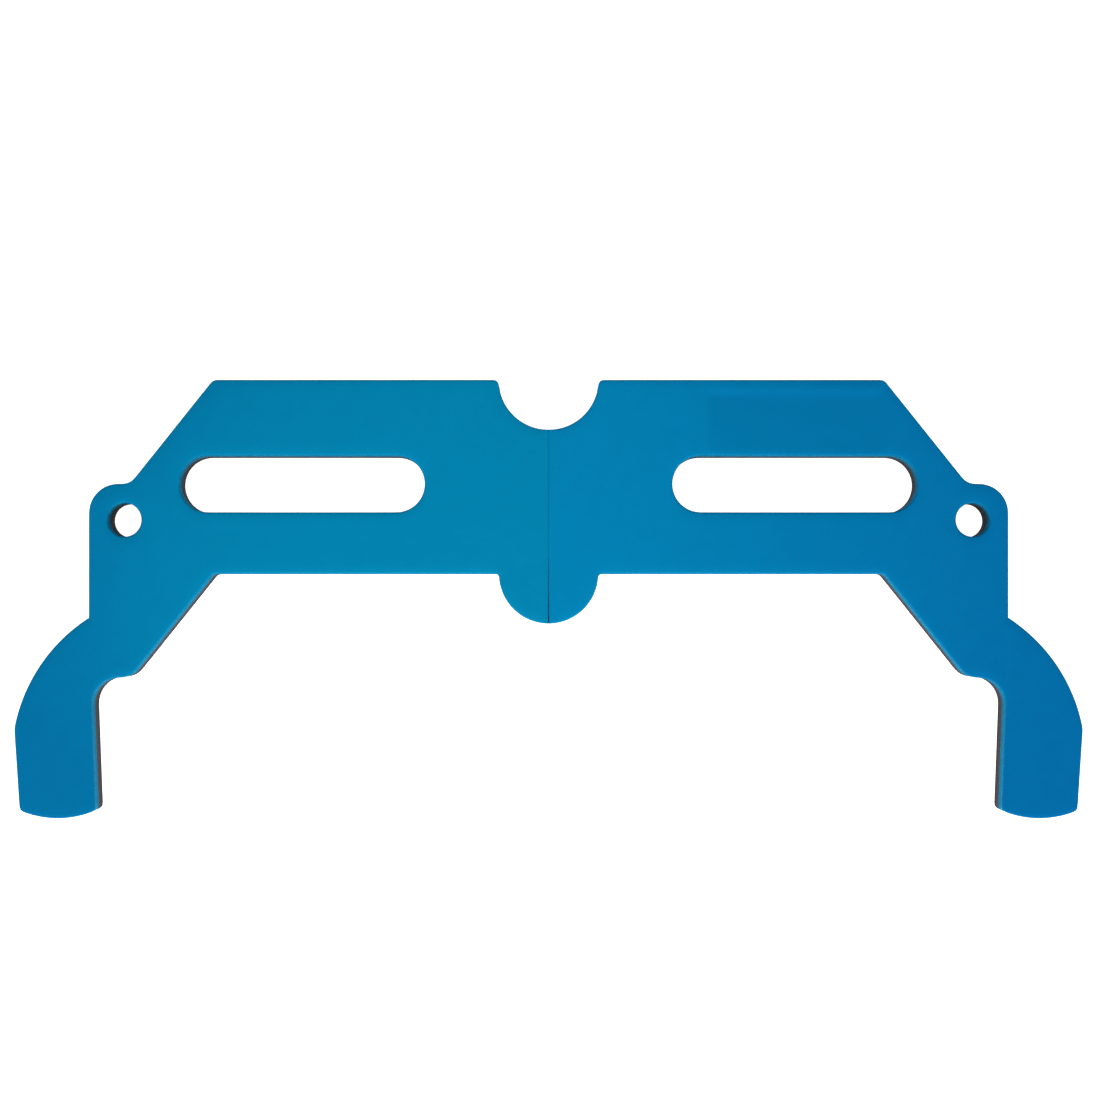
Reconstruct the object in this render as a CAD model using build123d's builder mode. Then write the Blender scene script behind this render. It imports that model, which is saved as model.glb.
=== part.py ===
from build123d import *
from math import radians, tan
import os

# A folding board cut from two bonded sheets of closed-cell foam. Each half is a beam with a hand
# slot, a lug with a round hole and a curved leg. The fold is scored from the back and leaves a thin
# web of the front sheet uncut, a living hinge, so the board closes front to front. The web is a node
# of its own, because it bends while the halves stay rigid. Sizes are in millimetres.
#
# The board lies on its back: X runs along its width, Y towards the beam's top edge, Z up through
# the sheets. The origin is on the floor, under the middle of the board, on the fold line.
# "drop" is a distance down from the beam's top edge. The outline is drawn for the right half.

# Overall sizes
overall_width = 600.0
overall_height = 246.3
front_thickness = 12.0
back_thickness = 12.0

# Beam: its bottom edge repeats its top edge one beam depth lower, so blanks nest when cut
beam_depth = 109.0
slope_angle = 51.35
end_radius = 28.0

# Lug and the shoulder below it
lug_drop = 58.3
lug_inset = 41.9
lug_radius = 16.4
lug_flat = 2.6
root_radius = 8.5

# Leg
shoulder_drop = 133.5
shoulder_radius = 94.9
widest_drop = 195.7
leg_width = 43.0
inner_root_radius = 11.0
inner_shoulder_share = 0.68
inner_shoulder_margin = 1.1
inner_slope_share = 0.95
outer_lean = 3.75
inner_lean = 2.7
foot_sag = 4.4

# Corner roundings left by the cutting die
edge_rounding = 2.2
underside_rounding = 0.8
hip_rounding = 12.0
foot_rounding = 2.5

# Hand slot
slot_height = 31.7
slot_drop = 58.5
slot_fold_web = 69.5
slot_slope_web = 27.7

# Lug hole
hole_radius = 9.5
hole_inset = 20.1
hole_drop = 20.3

# Pressed panel on the right half's front
panel_width = 96.0
panel_drop = 7.5
panel_slot_web = 4.0
panel_depth = 0.8
panel_rounding = 3.0

# Fold: a closed score behind the web, and below the web a slit that opens towards the lobe's tip
score_gap = 0.3
slit_gap = 0.6
slit_length = 36.0
web_width = 4.0
web_thickness = 1.6

# Places that follow from the sizes above
thickness = back_thickness + front_thickness
top_y = overall_height / 2
half_width = overall_width / 2
beam_bottom_y = top_y - beam_depth
half_turn = tan(radians(slope_angle / 2))
lug_side_x = half_width - lug_inset
slope_foot_x = lug_side_x - lug_radius - lug_flat - root_radius * half_turn
slope_top_x = slope_foot_x - lug_drop / tan(radians(slope_angle))
leg_inner_x = half_width - leg_width
foot_y = foot_sag - top_y
lobe_tip_y = beam_bottom_y - end_radius
fold_top_y = top_y - end_radius

slot_inner_x = slot_fold_web
slot_outer_x = slope_foot_x - slot_slope_web
slot_centre = ((slot_inner_x + slot_outer_x) / 2, top_y - slot_drop)
slot_length = slot_outer_x - slot_inner_x
hole_centre = (lug_side_x - hole_inset, top_y - lug_drop - hole_drop)

# The inner shoulder's two roundings share its short straight edge, and stop short of using it up
inner_shoulder_run = leg_inner_x - slope_foot_x
inner_shoulder_radius = min(lug_radius, inner_shoulder_share * inner_shoulder_run)
inner_slope_run = inner_shoulder_run - inner_shoulder_margin * inner_shoulder_radius
inner_slope_radius = min(inner_root_radius, inner_slope_share * inner_slope_run / half_turn)

panel_height = slot_drop - slot_height / 2 - panel_slot_web - panel_drop
panel_centre = (slot_centre[0], top_y - panel_drop - panel_height / 2)

slit_top_y = lobe_tip_y + slit_length
web_length = top_y - slit_top_y
web_centre = (0, (top_y + slit_top_y) / 2)

# Corners of the right half, from the notch outwards and back along the underside
notch_bottom = (0, fold_top_y)
notch_edge = (end_radius, top_y)
slope_top = (slope_top_x, top_y)
slope_foot = (slope_foot_x, top_y - lug_drop)
lug_corner = (lug_side_x, top_y - lug_drop)
shoulder = (lug_side_x, top_y - shoulder_drop)
hip = (half_width, top_y - widest_drop)
foot_outer = (half_width - (hip[1] - foot_y) * tan(radians(outer_lean)), foot_y)
inner_shoulder = (leg_inner_x, top_y - lug_drop - beam_depth)
inner_leg_length = inner_shoulder[1] - inner_shoulder_radius - foot_y
foot_inner = (leg_inner_x - inner_leg_length * tan(radians(inner_lean)), foot_y)
foot_bottom = ((foot_outer[0] + foot_inner[0]) / 2, -top_y)
inner_slope_foot = (slope_foot_x, inner_shoulder[1])
inner_slope_top = (slope_top_x, beam_bottom_y)
lobe_edge = (end_radius, beam_bottom_y)
lobe_tip = (0, lobe_tip_y)

rounded_corners = [
    (notch_edge, edge_rounding),
    (slope_top, edge_rounding),
    (slope_foot, root_radius),
    (lug_corner, lug_radius),
    (hip, hip_rounding),
    (foot_outer, foot_rounding),
    (foot_inner, foot_rounding),
    (inner_shoulder, inner_shoulder_radius),
    (inner_slope_foot, inner_slope_radius),
    (inner_slope_top, underside_rounding),
    (lobe_edge, underside_rounding),
]

with BuildSketch() as right_outline:
    with BuildLine():
        CenterArc((0, top_y), end_radius, -90, 90)
        Polyline(notch_edge, slope_top, slope_foot, lug_corner, shoulder)
        RadiusArc(shoulder, hip, shoulder_radius)
        Line(hip, foot_outer)
        ThreePointArc(foot_outer, foot_bottom, foot_inner)
        Polyline(foot_inner, inner_shoulder, inner_slope_foot, inner_slope_top, lobe_edge)
        CenterArc((0, beam_bottom_y), end_radius, 0, -90)
        Line(lobe_tip, notch_bottom)
    make_face()
    for corner, radius in rounded_corners:
        fillet(right_outline.vertices().sort_by_distance(corner)[0], radius=radius)
    with Locations(slot_centre):
        SlotOverall(slot_length, slot_height, mode=Mode.SUBTRACT)
    with Locations(hole_centre):
        Circle(hole_radius, mode=Mode.SUBTRACT)
    # The gap at the fold, as far as its middle
    with BuildLine():
        Polyline(
            (0, top_y),
            (score_gap / 2, top_y),
            (score_gap / 2, slit_top_y),
            (slit_gap / 2, lobe_tip_y),
            lobe_tip,
            close=True,
        )
    make_face(mode=Mode.SUBTRACT)

with BuildSketch() as left_outline:
    add(right_outline.sketch)
    mirror(about=Plane.YZ, mode=Mode.REPLACE)

# The web's place, drawn past the notch; the web itself ends on the notch's curve
with BuildSketch(Plane.XY.offset(thickness)) as web_seat:
    with Locations(web_centre):
        Rectangle(web_width, web_length)

with BuildPart() as right_back_layer:
    add(right_outline.sketch)
    extrude(amount=back_thickness)

with BuildPart() as left_back_layer:
    add(left_outline.sketch)
    extrude(amount=back_thickness)

with BuildPart() as right_front_layer:
    with BuildSketch(Plane.XY.offset(back_thickness)):
        add(right_outline.sketch)
    extrude(amount=front_thickness)
    with BuildSketch(Plane.XY.offset(thickness)):
        with Locations(panel_centre):
            RectangleRounded(panel_width, panel_height, panel_rounding)
    extrude(amount=-panel_depth, mode=Mode.SUBTRACT)
    add(web_seat.sketch)
    extrude(amount=-web_thickness, mode=Mode.SUBTRACT)

with BuildPart() as left_front_layer:
    with BuildSketch(Plane.XY.offset(back_thickness)):
        add(left_outline.sketch)
    extrude(amount=front_thickness)
    add(web_seat.sketch)
    extrude(amount=-web_thickness, mode=Mode.SUBTRACT)

with BuildPart() as hinge_web:
    with BuildSketch(Plane.XY.offset(thickness)):
        with Locations(web_centre):
            Rectangle(web_width, web_length)
        with Locations((0, top_y)):
            Circle(end_radius, mode=Mode.SUBTRACT)
    extrude(amount=-web_thickness)

nodes = {
    "left_front_layer": left_front_layer,
    "right_front_layer": right_front_layer,
    "left_back_layer": left_back_layer,
    "right_back_layer": right_back_layer,
    "hinge_web": hinge_web,
}
os.makedirs("parts", exist_ok=True)
for name, node in nodes.items():
    node.part.label = name
    export_step(node.part, f"parts/{name}.step")
    box = node.part.bounding_box()
    print(name, "volume", round(node.part.volume), "size", box.size, "min", box.min)
print("hole centre", hole_centre, "slot", slot_centre, slot_length, "panel", panel_centre)
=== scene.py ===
import math
from collections import Counter

import bpy
import numpy as np
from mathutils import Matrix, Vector, noise
from mathutils.geometry import delaunay_2d_cdt


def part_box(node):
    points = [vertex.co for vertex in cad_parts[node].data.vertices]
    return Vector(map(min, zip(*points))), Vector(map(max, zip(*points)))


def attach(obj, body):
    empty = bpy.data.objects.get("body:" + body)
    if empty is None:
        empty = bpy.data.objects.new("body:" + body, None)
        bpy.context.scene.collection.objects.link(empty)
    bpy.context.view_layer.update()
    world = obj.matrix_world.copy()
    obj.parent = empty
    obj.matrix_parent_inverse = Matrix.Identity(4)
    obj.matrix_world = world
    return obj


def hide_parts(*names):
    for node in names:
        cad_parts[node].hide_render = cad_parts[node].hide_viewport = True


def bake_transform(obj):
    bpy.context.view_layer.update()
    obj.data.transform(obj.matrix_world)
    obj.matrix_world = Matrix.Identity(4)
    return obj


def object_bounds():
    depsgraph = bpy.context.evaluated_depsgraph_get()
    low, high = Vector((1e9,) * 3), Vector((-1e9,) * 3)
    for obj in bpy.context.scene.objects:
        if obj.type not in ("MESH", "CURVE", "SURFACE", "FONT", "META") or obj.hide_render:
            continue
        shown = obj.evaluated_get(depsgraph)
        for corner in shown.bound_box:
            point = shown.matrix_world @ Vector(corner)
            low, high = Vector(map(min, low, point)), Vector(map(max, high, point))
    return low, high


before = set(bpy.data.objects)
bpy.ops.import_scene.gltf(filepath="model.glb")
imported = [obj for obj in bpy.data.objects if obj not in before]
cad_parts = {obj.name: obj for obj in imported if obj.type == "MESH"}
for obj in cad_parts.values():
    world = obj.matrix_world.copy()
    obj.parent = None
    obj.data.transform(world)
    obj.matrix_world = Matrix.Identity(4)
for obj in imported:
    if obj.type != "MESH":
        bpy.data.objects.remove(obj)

cad_low, cad_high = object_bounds()
MM = 0.001

# ---------------------------------------------------------------- sizes of the foam's finish
# Outlines, read from the CAD sheets
FLAT = 0.01 * MM                # how level the corners of a flat face are
CORNER_DIGITS = 6               # corners that agree to this many decimals are one point
OUTLINE_SPACING = 1.5 * MM      # distance between points along a cut edge
CORNER_TURN = math.radians(28)  # a sharper turn than this stays a corner
MITRE = 0.7                     # the least cosine that an offset at a corner allows for

# Cut walls and their rounded edges
OPEN_ROUNDING = 1.1 * MM        # rounding where a cut wall meets an outer face
BOND_ROUNDING = 0.3 * MM        # rounding where it meets the bonded face
ROUNDING_STEPS = 4
WALL_SHARES = (0.12, 0.3, 0.5, 0.7, 0.88)
WALL_HOLLOW = 0.18 * MM         # how far the middle of a cut wall pulls in
CUT_WAVE = 0.05 * MM            # how far the knife wandered
CUT_WAVE_LENGTH = 14.0 * MM
CUT_WAVE_SEED = 7.3

# Faces
SKIN_GRID = 3.0 * MM            # distance between points inside a face that shows
SKIN_MARGIN = 0.55 * SKIN_GRID  # how far they stay from its edges
HIDDEN_GRID = 14.0 * MM         # the same two for a bonded face
HIDDEN_MARGIN = 3.0 * MM
FILL_TOLERANCE = 1e-8           # points nearer than this are one, in metres
EDGE_DIP = 0.2 * MM             # how far a face drops beside a cut edge
EDGE_DIP_WIDTH = 5.0 * MM
SWELL = 0.09 * MM               # slow rise and fall of a face
SWELL_LENGTH = 45.0 * MM

# The fold
FOLD_CALM = 0.22                # the share of every edge detail that is left at the fold
FOLD_CALM_START = 0.4 * MM      # that share grows back between these distances from it
FOLD_CALM_WIDTH = 4.0 * MM
SLIT_REACH = 0.6 * MM           # outline points nearer the fold than this belong to its cut
SEAM_OPEN = 0.25                # the share of the CAD's score gap that stays open
SLIT_OPEN = 1.15                # how fast the slit widens below the score, as a multiple of the CAD's
FOLD_BOW = 0.9 * MM             # how far the knife bowed sideways, halfway down the back sheet
FOLD_BOW_WIDTH = 2.5 * MM

# The pressed panel
UPWARD = 0.9                    # a face whose normal rises more than this looks up
PANEL_CAD_DEPTHS = (0.3 * MM, 1.2 * MM)  # the CAD panel's floor is this deep, and the web's seat deeper
PANEL_DEPTH = 0.6 * MM
PANEL_RIM = 2.6 * MM            # half width of the pressed panel's sloping rim
PANEL_TILT = 0.55               # the share of its depth that the panel loses towards its lower side, where its painted shade fades too
PANEL_CORNER = 3.0 * MM
PANEL_CORNER_STEPS = 4
PANEL_SPACING = 2.0 * MM
PANEL_RINGS = (-PANEL_RIM, -PANEL_RIM / 3, PANEL_RIM / 3, PANEL_RIM)

# The web
WEB_SINK = 0.2 * MM             # the web's skin lies this far under the faces beside it
WEB_BURIED = 1.1 * MM           # how far each side of the web reaches into its half
WEB_END_GAP = 0.25 * MM
WEB_COLUMNS = 17
WEB_ROW = 1.6 * MM

ATTRIBUTES = ("cut", "pressed", "bonded")  # what each point tells the foam's material


# ---------------------------------------------------------------- outlines from the CAD sheets
def outline_loops(node):
    """The closed outlines of a sheet's lowest face, each with the foam on its left."""
    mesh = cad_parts[node].data
    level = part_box(node)[0].z
    sides = Counter()
    for polygon in mesh.polygons:
        corners = [mesh.vertices[i].co for i in polygon.vertices]
        if all(abs(c.z - level) < FLAT for c in corners):
            keys = [(round(c.x, CORNER_DIGITS), round(c.y, CORNER_DIGITS)) for c in corners]
            for a, b in zip(keys, keys[1:] + keys[:1]):
                sides[(a, b)] += 1
    following = {b: a for a, b in sides if (b, a) not in sides}
    loops = []
    while following:
        start, point = following.popitem()
        loop = [start]
        while point != start:
            loop.append(point)
            point = following.pop(point)
        loops.append(np.array(loop))
    return sorted(loops, key=len, reverse=True)


def resampled(loop, spacing):
    """The loop as evenly spaced points, smoothed between its sharp corners."""
    ahead = np.roll(loop, -1, 0) - loop
    heading = np.arctan2(ahead[:, 1], ahead[:, 0])
    turn = (heading - np.roll(heading, 1) + math.pi) % (2 * math.pi) - math.pi
    corners = np.flatnonzero(np.abs(turn) > CORNER_TURN)
    if not len(corners):
        corners = np.array([0])
    points = []
    for first, last in zip(corners, np.roll(corners, -1)):
        count = (last - first) % len(loop) or len(loop)
        run = loop[(first + np.arange(count + 1)) % len(loop)]
        along = np.concatenate(([0], np.cumsum(np.linalg.norm(np.diff(run, axis=0), axis=1))))
        parts = max(1, round(along[-1] / spacing))
        at = np.linspace(0, along[-1], parts + 1)
        even = np.column_stack([np.interp(at, along, run[:, k]) for k in (0, 1)])
        if parts > 3:
            smoothed = even.copy()
            smoothed[1:-1] = (even[:-2] + 2 * even[1:-1] + even[2:]) / 4
            even = smoothed
        points.append(even[:-1])
    return np.vstack(points)


def sprung_back(loop, half_gap):
    """The loop with its cut at the fold partly closed by the foam's own spring. At the score, the
    CAD's outline stands half a gap from the fold."""
    x = loop[:, 0]
    at_cut = np.abs(x) < SLIT_REACH
    closed = np.sign(x) * (SEAM_OPEN * half_gap + SLIT_OPEN * (np.abs(x) - half_gap))
    return np.column_stack([np.where(at_cut, closed, x), loop[:, 1]])


def inward(loop):
    """Each point's direction into the foam, lengthened at a corner so that an offset keeps its width."""
    ahead = np.roll(loop, -1, 0) - loop
    ahead /= np.linalg.norm(ahead, axis=1)[:, None]
    left = np.column_stack([-ahead[:, 1], ahead[:, 0]])
    both = left + np.roll(left, 1, 0)
    both /= np.linalg.norm(both, axis=1)[:, None]
    return both / np.clip((both * left).sum(1), MITRE, 1)[:, None]


def distance_to(loops, points):
    """The distance from each point to the nearest outline."""
    nearest = np.full(len(points), np.inf)
    for loop in loops:
        side = np.roll(loop, -1, 0) - loop
        length_squared = (side ** 2).sum(1)
        for a, d, ll in zip(loop, side, length_squared):
            t = np.clip(((points - a) @ d) / ll, 0, 1)
            nearest = np.minimum(nearest, np.linalg.norm(points - a - t[:, None] * d, axis=1))
    return nearest


def enclosed(loops, points):
    """Whether each point is inside the foam: within the outline and outside its openings."""
    inside = np.zeros(len(points), bool)
    for loop in loops:
        for a, b in zip(loop, np.roll(loop, -1, 0)):
            if a[1] == b[1]:
                continue
            crosses = (a[1] > points[:, 1]) != (b[1] > points[:, 1])
            x = a[0] + (points[:, 1] - a[1]) / (b[1] - a[1]) * (b[0] - a[0])
            inside ^= crosses & (points[:, 0] < x)
    return inside


# ---------------------------------------------------------------- slow changes over a sheet
def smooth_step(value, low, high):
    """0 up to low and 1 from high on, with a smooth rise between them."""
    t = np.clip((value - low) / (high - low), 0, 1)
    return t * t * (3 - 2 * t)


def slow_noise(points, length, seed):
    """Smooth noise about 0.5 at each point, whose features are about this long."""
    values = [noise.noise(Vector((x / length, y / length, seed))) for x, y in points]
    return 0.5 + 0.5 * np.array(values)


def fold_calm(x):
    """A share that shrinks every edge detail close to the fold, where the two halves all but touch."""
    return FOLD_CALM + (1 - FOLD_CALM) * smooth_step(np.abs(x), FOLD_CALM_START, FOLD_CALM_WIDTH)


# ---------------------------------------------------------------- the pressed panel
def panel_box():
    """The corners of the panel pressed into the right front sheet, as the CAD has it."""
    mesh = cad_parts["right_front_layer"].data
    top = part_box("right_front_layer")[1].z
    shallowest, deepest = PANEL_CAD_DEPTHS
    found = [
        mesh.vertices[i].co
        for polygon in mesh.polygons
        if polygon.normal.z > UPWARD and shallowest < top - polygon.center.z < deepest
        for i in polygon.vertices
    ]
    corners = np.array([(c.x, c.y) for c in found])
    return corners.min(0), corners.max(0)


PANEL_LOW, PANEL_HIGH = panel_box()
PANEL_MIDDLE = (PANEL_LOW + PANEL_HIGH) / 2
PANEL_HALF = (PANEL_HIGH - PANEL_LOW) / 2


def panel_distance(points):
    """The distance outside the panel's rounded outline, negative inside it."""
    q = np.abs(points - PANEL_MIDDLE) - (PANEL_HALF - PANEL_CORNER)
    outside = np.linalg.norm(np.maximum(q, 0), axis=1)
    return outside + np.minimum(q.max(1), 0) - PANEL_CORNER


def panel_press(points):
    """How deep the panel is pressed at each point, as a share of its full depth."""
    down = np.clip((PANEL_HIGH[1] - points[:, 1]) / (PANEL_HIGH[1] - PANEL_LOW[1]), 0, 1)
    return (1 - PANEL_TILT * down) * (1 - smooth_step(panel_distance(points), -PANEL_RIM, PANEL_RIM))


def panel_ring(offset):
    """Points round the panel, at a distance outside its outline."""
    radius = PANEL_CORNER + offset
    core_x, core_y = PANEL_HALF - PANEL_CORNER
    points = []
    for quarter, (sx, sy) in enumerate(((1, 1), (-1, 1), (-1, -1), (1, -1))):
        for step in range(PANEL_CORNER_STEPS + 1):
            angle = math.pi / 2 * (quarter + step / PANEL_CORNER_STEPS)
            points.append((sx * core_x + radius * math.cos(angle), sy * core_y + radius * math.sin(angle)))
    return resampled(np.array(points) + PANEL_MIDDLE, PANEL_SPACING)


# ---------------------------------------------------------------- foam sheets
def in_scene(name, data):
    """A new object that shows the data."""
    made = bpy.data.objects.new(name, data)
    bpy.context.scene.collection.objects.link(made)
    return made


def foam_piece(name, places, faces, values, material):
    """A smooth-shaded piece of foam, with the values that its material reads at each point."""
    mesh = bpy.data.meshes.new(name)
    mesh.from_pydata(places, [], faces)
    for label, of_points in zip(ATTRIBUTES, values):
        attribute = mesh.attributes.new(label, "FLOAT", "POINT")
        attribute.data.foreach_set("value", np.array(of_points, np.float32))
    mesh.validate()
    mesh.shade_smooth()
    mesh.materials.append(material)
    return in_scene(name, mesh)


def rounding_steps(radius):
    """Steps round a cut edge, from its face to its wall: how far each is inset, its distance from the
    face's plane, and how far it belongs to the wall (1) or to the skin (0)."""
    steps = []
    for i in range(ROUNDING_STEPS + 1):
        angle = math.pi / 2 * i / ROUNDING_STEPS
        steps.append((radius * (1 - math.sin(angle)), radius * (1 - math.cos(angle)), i / ROUNDING_STEPS))
    return steps


def wall_steps(low_rounding, high_rounding):
    """Steps up a cut wall: how far each is inset, the share of the wall's height that it stands at,
    its height off the face there, and how far it belongs to the wall (1) or to the skin (0)."""
    low = [(inset, 0.0, rise, is_cut) for inset, rise, is_cut in rounding_steps(low_rounding)]
    wall = [(WALL_HOLLOW * math.sin(math.pi * share), share, 0.0, 1.0) for share in WALL_SHARES]
    high = [(inset, 1.0, -rise, is_cut) for inset, rise, is_cut in rounding_steps(high_rounding)]
    return low + wall + high[::-1]


def grid_points(loops, spacing, margin, keep_off):
    """A staggered grid of points inside the foam, clear of the edges and of the loops to keep off."""
    low, high = loops[0].min(0), loops[0].max(0)
    rows = np.arange(low[1], high[1], spacing * math.sqrt(3) / 2)
    points = []
    for k, y in enumerate(rows):
        xs = np.arange(low[0] + (k % 2) * spacing / 2, high[0], spacing)
        points.append(np.column_stack([xs, np.full(len(xs), y)]))
    points = np.vstack(points)
    points = points[enclosed(loops, points)]
    points = points[distance_to(loops, points) > margin]
    if keep_off:
        points = points[distance_to(keep_off, points) > margin]
    return points


class FoamSheet:
    """A die-cut sheet of foam with the CAD sheet's outline: rounded open edges, slightly hollow cut
    walls, and an open face that dips at its edges and swells slowly between them."""

    def __init__(self, node, open_top, seed, panel=False):
        self.low, self.high = (corner.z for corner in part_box(node))
        self.open_top, self.seed, self.panel = open_top, seed, panel
        self.inwards = -1 if open_top else 1  # the way from the open face into the foam
        # Both sheets of a half have one outline, and the back one's lowest face shows all of it
        outlines = outline_loops(node.replace("front", "back"))
        half_gap = min(np.abs(loop[:, 0]).min() for loop in outlines)
        self.loops = [sprung_back(resampled(loop, OUTLINE_SPACING), half_gap) for loop in outlines]
        self.places, self.faces = [], []
        self.cut, self.pressed, self.bonded = [], [], []
        self.rims = {"low": [], "high": []}
        for loop in self.loops:
            self.add_wall(loop)
        for side in self.rims:
            self.fill_face(side)

    def skin_drop(self, points):
        """How far the open face lies inside the CAD sheet's face at each point."""
        by_edge = 1 - smooth_step(distance_to(self.loops, points), 0, EDGE_DIP_WIDTH)
        swell = np.clip(slow_noise(points, SWELL_LENGTH, self.seed), 0, 1)
        drop = EDGE_DIP * fold_calm(points[:, 0]) * by_edge + SWELL * swell
        if self.panel:
            drop = drop + PANEL_DEPTH * panel_press(points)
        return drop

    def add_points(self, points, z, is_cut, share):
        """Adds points with what the material reads at them, and returns the first one's number."""
        first = len(self.places)
        self.places.extend(zip(points[:, 0], points[:, 1], z))
        self.cut.extend(np.broadcast_to(is_cut, len(points)))
        self.pressed.extend(panel_press(points) if self.panel else np.zeros(len(points)))
        self.bonded.extend(np.broadcast_to(1 - share if self.open_top else share, len(points)))
        return first

    def add_wall(self, loop):
        """Sweeps the cut wall and its rounded edges along one outline."""
        count = len(loop)
        calm = fold_calm(loop[:, 0])
        normal = inward(loop)
        wave = CUT_WAVE * calm * slow_noise(loop, CUT_WAVE_LENGTH, self.seed + CUT_WAVE_SEED)
        roundings = (BOND_ROUNDING, OPEN_ROUNDING) if self.open_top else (OPEN_ROUNDING, BOND_ROUNDING)
        rings = []
        for inset, share, rise, is_cut in wall_steps(*roundings):
            points = loop + normal * (inset * calm + wave)[:, None]
            if not self.open_top:
                by_fold = 1 - smooth_step(np.abs(loop[:, 0]), SLIT_REACH, FOLD_BOW_WIDTH)
                points[:, 0] += FOLD_BOW * math.sin(math.pi * share) * by_fold
            z = self.low + share * (self.high - self.low) + rise * calm
            if share == float(self.open_top):
                z = z + self.inwards * self.skin_drop(points)
            rings.append(self.add_points(points, z, is_cut, share))
        here = np.arange(count)
        after = (here + 1) % count
        for a, b in zip(rings, rings[1:]):
            self.faces.extend(zip(a + here, a + after, b + after, b + here))
        self.rims["low"].append((rings[0], count))
        self.rims["high"].append((rings[-1], count))

    def fill_face(self, side):
        """Fills a face between its rims, finely where it shows and coarsely where it is bonded."""
        shows = (side == "high") == self.open_top
        spacing, margin = (SKIN_GRID, SKIN_MARGIN) if shows else (HIDDEN_GRID, HIDDEN_MARGIN)
        level = self.high if side == "high" else self.low
        index = [first + i for first, count in self.rims[side] for i in range(count)]
        rims = [np.array(self.places[first:first + count])[:, :2] for first, count in self.rims[side]]
        # Rings of points follow the pressed panel's sloping rim
        rings = [panel_ring(offset) for offset in PANEL_RINGS] if self.panel and shows else []
        for points in rings + [grid_points(rims, spacing, margin, rings)]:
            drop = self.inwards * self.skin_drop(points) if shows else 0.0
            z = np.broadcast_to(level + drop, len(points))
            first = self.add_points(points, z, 0.0, float(side == "high"))
            index.extend(range(first, first + len(points)))
        lines, start = [], 0
        for count in [len(loop) for loop in rims + rings]:
            lines += [(start + i, start + (i + 1) % count) for i in range(count)]
            start += count
        flat = [Vector(self.places[i][:2]) for i in index]
        filled = delaunay_2d_cdt(flat, lines, [], 0, FILL_TOLERANCE)
        triangles, sources = filled[2], filled[3]  # sources lists the points behind each corner
        triangles = np.array([[index[sources[corner][0]] for corner in face] for face in triangles])
        middles = np.array(self.places)[triangles].mean(1)[:, :2]
        kept = triangles[enclosed(rims, middles)]
        self.faces.extend(map(tuple, kept if side == "high" else kept[:, ::-1]))

    def piece(self, name, material):
        """The sheet as an object."""
        faces = [tuple(int(i) for i in face) for face in self.faces]
        return foam_piece(name, self.places, faces, (self.cut, self.pressed, self.bonded), material)


def web_strip(name, material):
    """The thin strip of front skin left uncut along the fold, buried in both halves at its sides."""
    low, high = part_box("hinge_web")
    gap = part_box("right_front_layer")[0].x
    across = np.concatenate((
        [-gap - WEB_BURIED, -gap - WEB_BURIED / 3],
        np.linspace(-gap, gap, WEB_COLUMNS),
        [gap + WEB_BURIED / 3, gap + WEB_BURIED],
    ))
    along = np.linspace(low.y + WEB_END_GAP, high.y - WEB_END_GAP, round((high.y - low.y) / WEB_ROW))
    top, bottom = high.z - WEB_SINK, low.z
    columns, rows = len(across), len(along)
    side, end = columns - 1, rows - 1
    places = [(x, y, z) for z in (bottom, top) for y in along for x in across]

    def at(level, row, column):
        return (level * rows + row) * columns + column

    faces = []
    for r in range(end):
        for c in range(side):
            faces.append((at(1, r, c), at(1, r, c + 1), at(1, r + 1, c + 1), at(1, r + 1, c)))
            faces.append((at(0, r, c), at(0, r + 1, c), at(0, r + 1, c + 1), at(0, r, c + 1)))
        faces.append((at(0, r, 0), at(1, r, 0), at(1, r + 1, 0), at(0, r + 1, 0)))
        faces.append((at(0, r, side), at(0, r + 1, side), at(1, r + 1, side), at(1, r, side)))
    for c in range(side):
        faces.append((at(0, 0, c), at(0, 0, c + 1), at(1, 0, c + 1), at(1, 0, c)))
        faces.append((at(0, end, c), at(1, end, c), at(1, end, c + 1), at(0, end, c + 1)))
    return foam_piece(name, places, faces, np.zeros((len(ATTRIBUTES), len(places))), material)


# ---------------------------------------------------------------- materials
# Scales of the textures, in features to the metre
LIGHT_FALLOFF_SCALE = 7.0
MOTTLE_SCALE = 95.0
SPECKLE_SCALE = 1250.0
BOND_DARK_SCALE = 260.0
RAGGED_SCALE = 420.0
ROUGHNESS_SCALE = 600.0
GRAIN_SCALE = 1700.0
DIMPLE_SCALE = 330.0
CELL_SCALE = 1000.0
FINE_DETAIL = 3.0               # octaves of the finer ones
NOISE_SPAN = (0.3, 0.7)         # nearly all of a noise texture's values lie between these
WHOLE = (0.0, 1.0)

# The skin's tone with painted light: it falls off from the lit middle of the board out to its legs, and its
# right half is painted in shade
LIGHT_FALLOFF_CENTRE = 0.02             # the most brightly lit place of the painted falloff, this far up from the board's middle
LIGHT_FALLOFF_UP_WEIGHT = 2.0           # distance up or down counts this much, distance across counts 1
LIGHT_FALLOFF_REACH = (0.0, 0.12)       # squared distances over which the painted light falls off
LIGHT_FALLOFF_NOISE = 0.25
LIGHT_FALLOFF_SPAN = (0.05, 1.2)
RIGHT_SHADE_REACH = (0.0, 0.2)        # how far right the right half's painted shade comes in, as that half lies at another angle to the light
RIGHT_SHADE_SHARE = 0.35
RIGHT_SHADE_CAST_REACH = (-0.5 * MM, 0.5 * MM)  # the painted shade's slight cast of colour starts across the fold

# The skin's marks, as factors of its brightness
CREASE_SHADE_REACH = (0.2 * MM, 1.1 * MM)  # painted shade along the fold's crease, darkest nearer than the first of these distances and gone beyond the second
CREASE_SHADE = (0.94, 1.0)
MOTTLE = (0.985, 1.015)
SPECKLE = (0.95, 1.045)
SPECKLE_CRISPNESS = 0.65
PRESSED_SHADE_SHARE = 0.8             # how much of the pressed panel's painted shade shows where the panel is deepest
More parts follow.
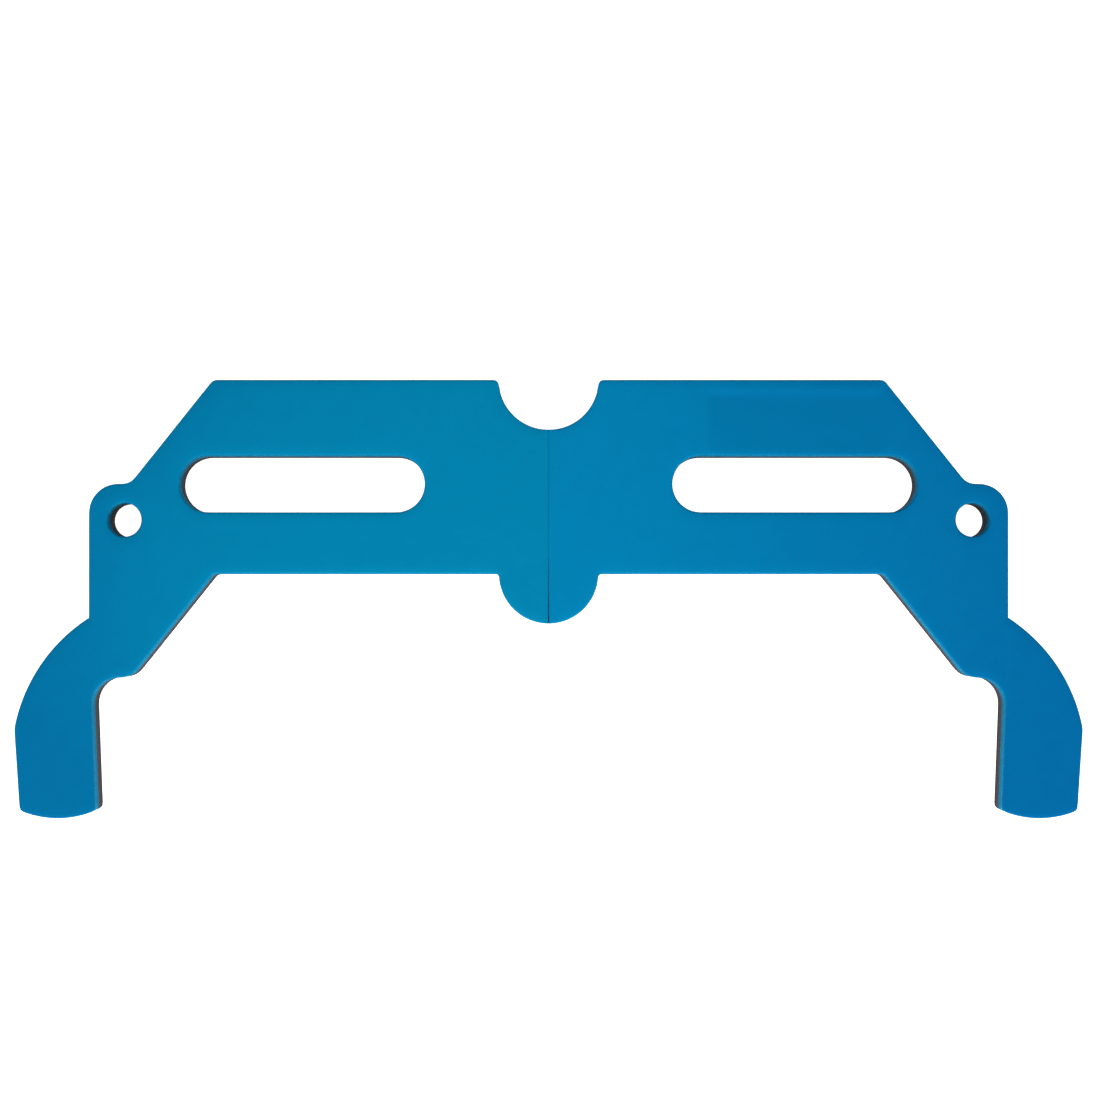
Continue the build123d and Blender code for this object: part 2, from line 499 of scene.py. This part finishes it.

# Cut walls
CELL_SPAN = (0.15, 0.75)        # distances from a cell's middle, in cells, where its brightness falls
CELL_BRIGHTNESS = (1.1, 0.7)
BOND_DARK_RAGGED = 0.15             # how far noise moves the edge of the darkening near the bond
BOND_DARK_NEAR = ((0.84, 1.0), (0.0, 0.8))  # nearness to the bond, 1 at it, and the strength of the darkening there
BOND_DARK_FAR = ((0.4, 1.0), (0.0, 0.4))
WALL_RAGGED = 0.5               # how far noise moves the line between skin and wall
WALL_SPAN = (0.25, 0.8)

# Roughness and bumps
ROUGHNESS_SPREAD = 0.06
WALL_ROUGHER = 0.18
GRAIN_HEIGHT = 0.5
DIMPLE_HEIGHT = 0.6
CELL_HEIGHT = -1.6
BUMP_STRENGTH = 0.35
BUMP_DISTANCE = 0.12 * MM


class Graph:
    """The nodes of a material or a world, with short ways to make the ones used here."""

    def __init__(self, owner):
        owner.use_nodes = True
        self.nodes, self.links = owner.node_tree.nodes, owner.node_tree.links

    def feed(self, socket, value):
        """Gives a socket a number or a colour, or links another node's output to it."""
        if isinstance(value, bpy.types.NodeSocket):
            self.links.new(value, socket)
        elif isinstance(value, tuple):
            socket.default_value = (*value, 1.0)
        else:
            socket.default_value = value

    def node(self, kind, inputs=(), **settings):
        """A new node with its settings, and with values or links for its named inputs."""
        made = self.nodes.new(kind)
        for key, value in settings.items():
            setattr(made, key, value)
        for key, value in dict(inputs).items():
            self.feed(made.inputs[key], value)
        return made

    def attribute(self, name):
        return self.node("ShaderNodeAttribute", attribute_name=name).outputs["Fac"]

    def noise(self, place, scale, detail=2.0, roughness=0.5):
        inputs = {"Vector": place, "Scale": scale, "Detail": detail, "Roughness": roughness}
        return self.node("ShaderNodeTexNoise", inputs).outputs["Fac"]

    def maths(self, operation, *values, clamp=False):
        made = self.node("ShaderNodeMath", operation=operation, use_clamp=clamp)
        for socket, value in zip(made.inputs, values):
            self.feed(socket, value)
        return made.outputs[0]

    def times(self, a, b):
        return self.maths("MULTIPLY", a, b)

    def plus(self, a, b):
        return self.maths("ADD", a, b)

    def spread(self, value, span, result, curve="SMOOTHSTEP"):
        """The value's run through a span, as a run between two results."""
        made = self.node("ShaderNodeMapRange", {"Value": value}, interpolation_type=curve)
        for key, number in zip(("From Min", "From Max", "To Min", "To Max"), (*span, *result)):
            made.inputs[key].default_value = number
        return made.outputs["Result"]

    def ragged(self, value, place, scale, amount):
        """The value, with noise that moves it up and down by as much as half the amount."""
        around_zero = self.maths("SUBTRACT", self.noise(place, scale), 0.5)
        return self.plus(value, self.times(around_zero, amount))

    def mix(self, factor, a, b, blend="MIX"):
        made = self.node("ShaderNodeMix", data_type="RGBA", blend_type=blend)
        sockets = {socket.identifier: socket for socket in (*made.inputs, *made.outputs)}
        for key, value in (("Factor_Float", factor), ("A_Color", a), ("B_Color", b)):
            self.feed(sockets[key], value)
        return sockets["Result_Color"]

    def darkened(self, colour, factor):
        """The colour, multiplied by a grey factor."""
        grey = self.node("ShaderNodeCombineColor", {name: factor for name in ("Red", "Green", "Blue")})
        return self.mix(1.0, colour, grey.outputs["Color"], "MULTIPLY")


def skin_tone_with_painted_light(graph, place, tones):
    """The skin's colour with painted light: it is painted darker from the lit middle of the board to its
    legs, and the right half is painted in shade.
    """
    split = graph.node("ShaderNodeSeparateXYZ", {"Vector": place})
    x, y = split.outputs["X"], split.outputs["Y"]
    # painted light falloff: the skin is painted darker the farther it lies from the lit middle
    lift = graph.maths("SUBTRACT", y, LIGHT_FALLOFF_CENTRE)
    away = graph.plus(graph.times(x, x), graph.times(graph.times(lift, lift), LIGHT_FALLOFF_UP_WEIGHT))
    uneven = graph.times(graph.noise(place, LIGHT_FALLOFF_SCALE), LIGHT_FALLOFF_NOISE)
    light_falloff = graph.plus(graph.spread(away, LIGHT_FALLOFF_REACH, WHOLE), uneven)
    tone = graph.mix(graph.spread(light_falloff, LIGHT_FALLOFF_SPAN, WHOLE), tones["middle"], tones["ends"])
    # painted shade: the right half is painted darker and bluer, as it lies at another angle to the light
    tone = graph.mix(graph.spread(x, RIGHT_SHADE_REACH, (0.0, RIGHT_SHADE_SHARE)), tone, tones["right"])
    cast = graph.mix(1.0, tone, tones["right_shade_cast"], "MULTIPLY")
    return graph.mix(graph.spread(x, RIGHT_SHADE_CAST_REACH, WHOLE), tone, cast)


def grain_and_crease_shade(graph, place):
    """A factor for the skin's brightness: mottling, fine speckle and the painted shade of the crease at the
    fold.
    """
    x = graph.node("ShaderNodeSeparateXYZ", {"Vector": place}).outputs["X"]
    # painted shade in the crease at the fold
    crease_shade = graph.spread(graph.maths("ABSOLUTE", x), CREASE_SHADE_REACH, CREASE_SHADE)
    mottle = graph.spread(graph.noise(place, MOTTLE_SCALE, FINE_DETAIL), NOISE_SPAN, MOTTLE)
    speckle = graph.noise(place, SPECKLE_SCALE, FINE_DETAIL, SPECKLE_CRISPNESS)
    speckle = graph.spread(speckle, NOISE_SPAN, SPECKLE)
    return graph.times(graph.times(mottle, speckle), crease_shade)


def foam_material(name, tones, cut_tone, bond_tone, pressed_shade_tone, roughness, specular):
    """Closed-cell foam: a fine matt skin whose tone drifts slowly, with painted light falloff and painted
    shade, and cut walls of open cells.
    """
    material = bpy.data.materials.new(name)
    graph = Graph(material)
    place = graph.node("ShaderNodeTexCoord").outputs["Object"]
    cut, pressed, bonded = (graph.attribute(label) for label in ATTRIBUTES)

    skin = graph.darkened(skin_tone_with_painted_light(graph, place, tones), grain_and_crease_shade(graph, place))
    # painted shade in the pressed panel, darkest where it is pressed deepest, towards its upper side
    skin = graph.mix(graph.times(pressed, PRESSED_SHADE_SHARE), skin, pressed_shade_tone)

    cells = graph.node("ShaderNodeTexVoronoi", {"Vector": place, "Scale": CELL_SCALE}).outputs["Distance"]
    # the cut wall is darker towards the bonded face
    bond_nearness = graph.ragged(bonded, place, BOND_DARK_SCALE, BOND_DARK_RAGGED)
    bond_dark = graph.maths("MAXIMUM", graph.spread(bond_nearness, *BOND_DARK_NEAR), graph.spread(bond_nearness, *BOND_DARK_FAR))
    wall = graph.mix(bond_dark, cut_tone, bond_tone)
    wall = graph.darkened(wall, graph.spread(cells, CELL_SPAN, CELL_BRIGHTNESS))
    is_wall = graph.spread(graph.ragged(cut, place, RAGGED_SCALE, WALL_RAGGED), WALL_SPAN, WHOLE)

    rough_range = (roughness - ROUGHNESS_SPREAD, roughness + ROUGHNESS_SPREAD)
    rough = graph.spread(graph.noise(place, ROUGHNESS_SCALE, FINE_DETAIL), NOISE_SPAN, rough_range)
    rough = graph.maths("ADD", rough, graph.times(is_wall, WALL_ROUGHER), clamp=True)

    grain = graph.times(graph.noise(place, GRAIN_SCALE), GRAIN_HEIGHT)
    skin_height = graph.plus(grain, graph.times(graph.noise(place, DIMPLE_SCALE), DIMPLE_HEIGHT))
    skin_height = graph.times(skin_height, graph.maths("SUBTRACT", 1.0, is_wall))
    height = graph.plus(skin_height, graph.times(graph.times(cells, CELL_HEIGHT), is_wall))
    bump_inputs = {"Strength": BUMP_STRENGTH, "Distance": BUMP_DISTANCE, "Height": height}
    bump = graph.node("ShaderNodeBump", bump_inputs)

    shader = graph.nodes["Principled BSDF"].inputs
    shader["Specular IOR Level"].default_value = specular
    graph.feed(shader["Base Color"], graph.mix(is_wall, skin, wall))
    graph.feed(shader["Roughness"], rough)
    graph.feed(shader["Normal"], bump.outputs["Normal"])
    return material


blue_foam = foam_material(
    "blue_foam",
    # middle and ends carry the painted light falloff, right the right half's painted shade
    tones={
        "middle": (0.0, 0.238, 0.453),
        "ends": (0.0, 0.162, 0.365),
        "right": (0.0, 0.128, 0.345),
        "right_shade_cast": (1.0, 0.97, 1.05),
    },
    cut_tone=(0.003, 0.172, 0.322),
    bond_tone=(0.035, 0.075, 0.085),
    pressed_shade_tone=(0.0, 0.18, 0.41),
    roughness=0.72,
    specular=0.025,
)
charcoal_foam = foam_material(
    "charcoal_foam",
    # the charcoal's tones carry the same painted light falloff and right-half painted shade
    tones={
        "middle": (0.052, 0.047, 0.052),
        "ends": (0.046, 0.042, 0.047),
        "right": (0.046, 0.041, 0.047),
        "right_shade_cast": (1.0, 1.0, 1.0),
    },
    cut_tone=(0.042, 0.036, 0.038),
    bond_tone=(0.046, 0.046, 0.048),
    pressed_shade_tone=(0.05, 0.045, 0.05),
    roughness=0.78,
    specular=0.1,
)

# ---------------------------------------------------------------- the pieces
FRONT_SEEDS = {"left": 3.1, "right": 11.7}  # so that each sheet swells in its own way
BACK_SEED_STEP = 5.0

for half, seed in FRONT_SEEDS.items():
    front_sheet = FoamSheet(f"{half}_front_layer", True, seed, panel=half == "right")
    front = front_sheet.piece(f"{half}_front_foam", blue_foam)
    back_sheet = FoamSheet(f"{half}_back_layer", False, seed + BACK_SEED_STEP)
    back = back_sheet.piece(f"{half}_back_foam", charcoal_foam)
    for piece, layer, slot in ((front, "front_layer", "front_foam"), (back, "back_layer", "back_foam")):
        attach(piece, f"{half}_half")
        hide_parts(f"{half}_{layer}")

web = web_strip("fold_web", blue_foam)
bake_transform(web)
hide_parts("hinge_web")

# ---------------------------------------------------------------- floor and backdrop
FLOOR_REACH = 4.0
FLOOR_DROP = 0.2 * MM           # how far the floor lies under the board
FLOOR_GLOW = 1.15               # enough to show as plain white
SKY_SPAN = (0.15, 0.6)          # heights between which the sky dims, as the sine of the elevation
SKY_STRENGTH = (1.0, 0.12)

floor_mesh = bpy.data.meshes.new("floor")
floor_level = cad_low.z - FLOOR_DROP
corner_signs = ((-1, -1), (1, -1), (1, 1), (-1, 1))
floor_corners = [(x * FLOOR_REACH, y * FLOOR_REACH, floor_level) for x, y in corner_signs]
floor_mesh.from_pydata(floor_corners, [], [(0, 1, 2, 3)])
floor_material = bpy.data.materials.new("floor_white")
floor_shader = Graph(floor_material).nodes["Principled BSDF"].inputs
floor_shader["Base Color"].default_value = (0.85, 0.85, 0.85, 1)
floor_shader["Roughness"].default_value = 0.9
floor_shader["Specular IOR Level"].default_value = 0.1
floor_shader["Emission Color"].default_value = (1, 1, 1, 1)
floor_shader["Emission Strength"].default_value = FLOOR_GLOW
floor_mesh.materials.append(floor_material)
floor = in_scene("floor", floor_mesh)

world = bpy.data.worlds.new("studio")
sky = Graph(world)
background = sky.nodes["Background"].inputs
background["Color"].default_value = (1, 1, 1, 1)
direction = sky.node("ShaderNodeTexCoord").outputs["Generated"]
rise = sky.node("ShaderNodeSeparateXYZ", {"Vector": direction}).outputs["Z"]
sky.feed(background["Strength"], sky.spread(rise, SKY_SPAN, SKY_STRENGTH, curve="LINEAR"))
bpy.context.scene.world = world


# ---------------------------------------------------------------- lights and camera
def softbox(name, location, size, power):
    """A square soft light that points at the middle of the board."""
    light = bpy.data.lights.new(name, "AREA")
    light.shape = "SQUARE"
    light.size = size
    light.energy = power
    lamp = in_scene(name, light)
    lamp.location = location
    lamp.rotation_euler = (-Vector(location)).to_track_quat("-Z", "Y").to_euler()


softbox("light_near", location=(0.0, -1.6, 0.85), size=0.9, power=31.5)
softbox("light_left", location=(-1.5, 0.1, 0.95), size=0.8, power=9.2)
softbox("light_right", location=(1.5, 0.1, 0.95), size=0.8, power=8.8)

CAMERA_HEIGHT = 1.28            # above the front face, where it sees the cut walls as the photograph does
CAMERA_SIDE = 0.8 * MM
CAMERA_LENS = 74.7              # the lens and the shift frame the board as the photograph does
CAMERA_SHIFT = 0.0447
CAMERA_RANGE = 20.0

camera_data = bpy.data.cameras.new("camera")
camera_data.lens = CAMERA_LENS
camera_data.sensor_width = 36.0
camera_data.shift_y = CAMERA_SHIFT
camera_data.clip_end = CAMERA_RANGE
camera = in_scene("camera", camera_data)
camera.location = (CAMERA_SIDE, 0.0, cad_high.z + CAMERA_HEIGHT)
bpy.context.scene.camera = camera
bpy.context.scene.view_settings.view_transform = "Standard"
